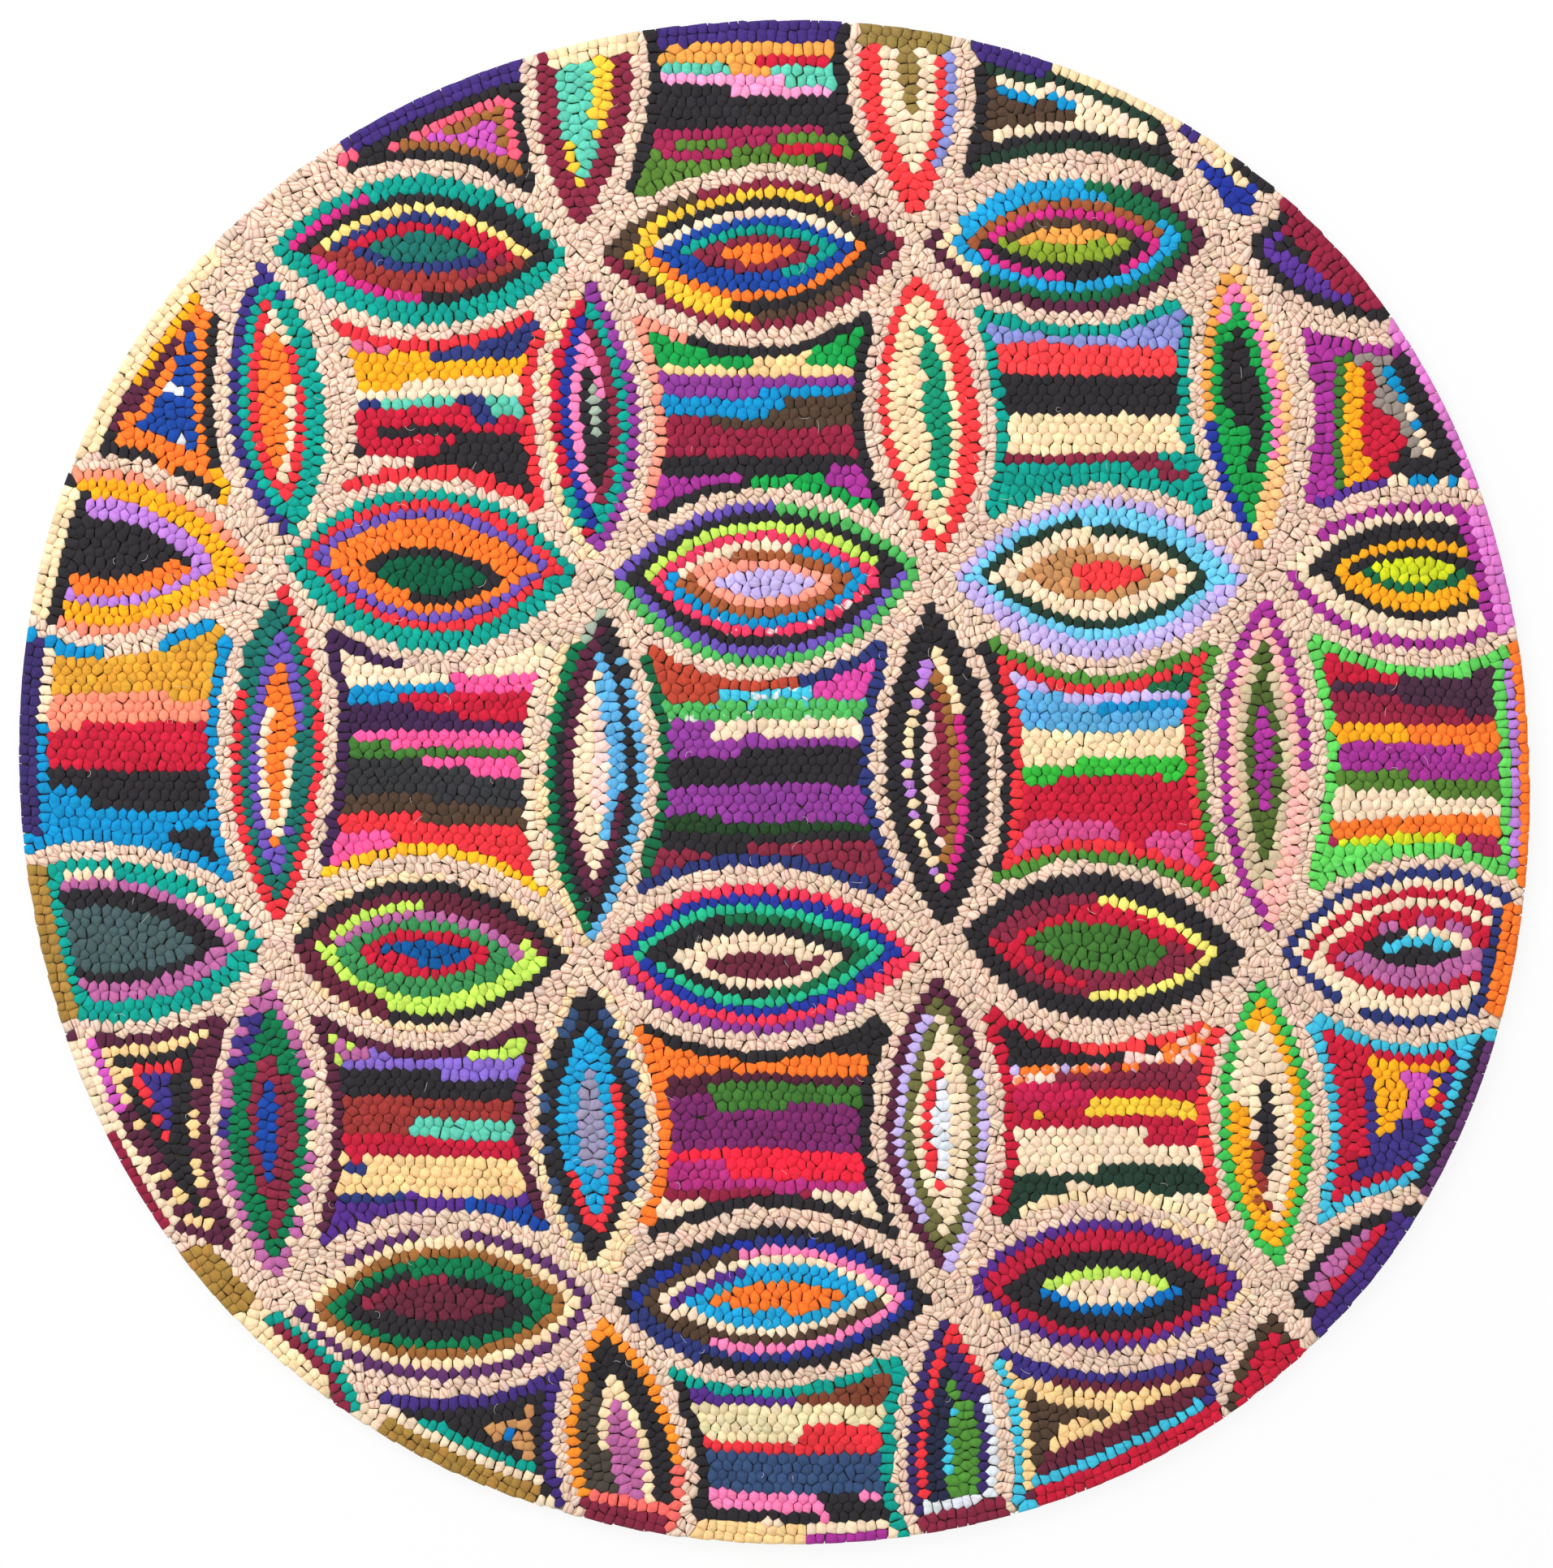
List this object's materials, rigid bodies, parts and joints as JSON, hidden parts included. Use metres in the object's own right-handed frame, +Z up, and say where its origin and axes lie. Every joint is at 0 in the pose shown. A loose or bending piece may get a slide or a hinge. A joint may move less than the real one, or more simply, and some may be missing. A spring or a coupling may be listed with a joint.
{
  "type": "round tufted rug",
  "caption": "Near-round floor rug of chunky cotton loops in an interlaced-circle pattern, flat, one piece, with a hand-worked, slightly oval outline.",
  "frame": {"origin": "middle of the flat underside, on the floor", "axes": "+Z up through the pile, +Y towards the top of the pattern, +X to its right"},
  "size_m": [1.2068, 1.218, 0.013],
  "materials": {
    "cotton_loops": "matte hooked loops of many-coloured cotton strip with a natural cotton ground",
    "base_cloth": "matte plain-woven natural cotton canvas"
  },
  "bodies": {
    "root": {"rug": "cotton_loops"}
  },
  "joints": []
}
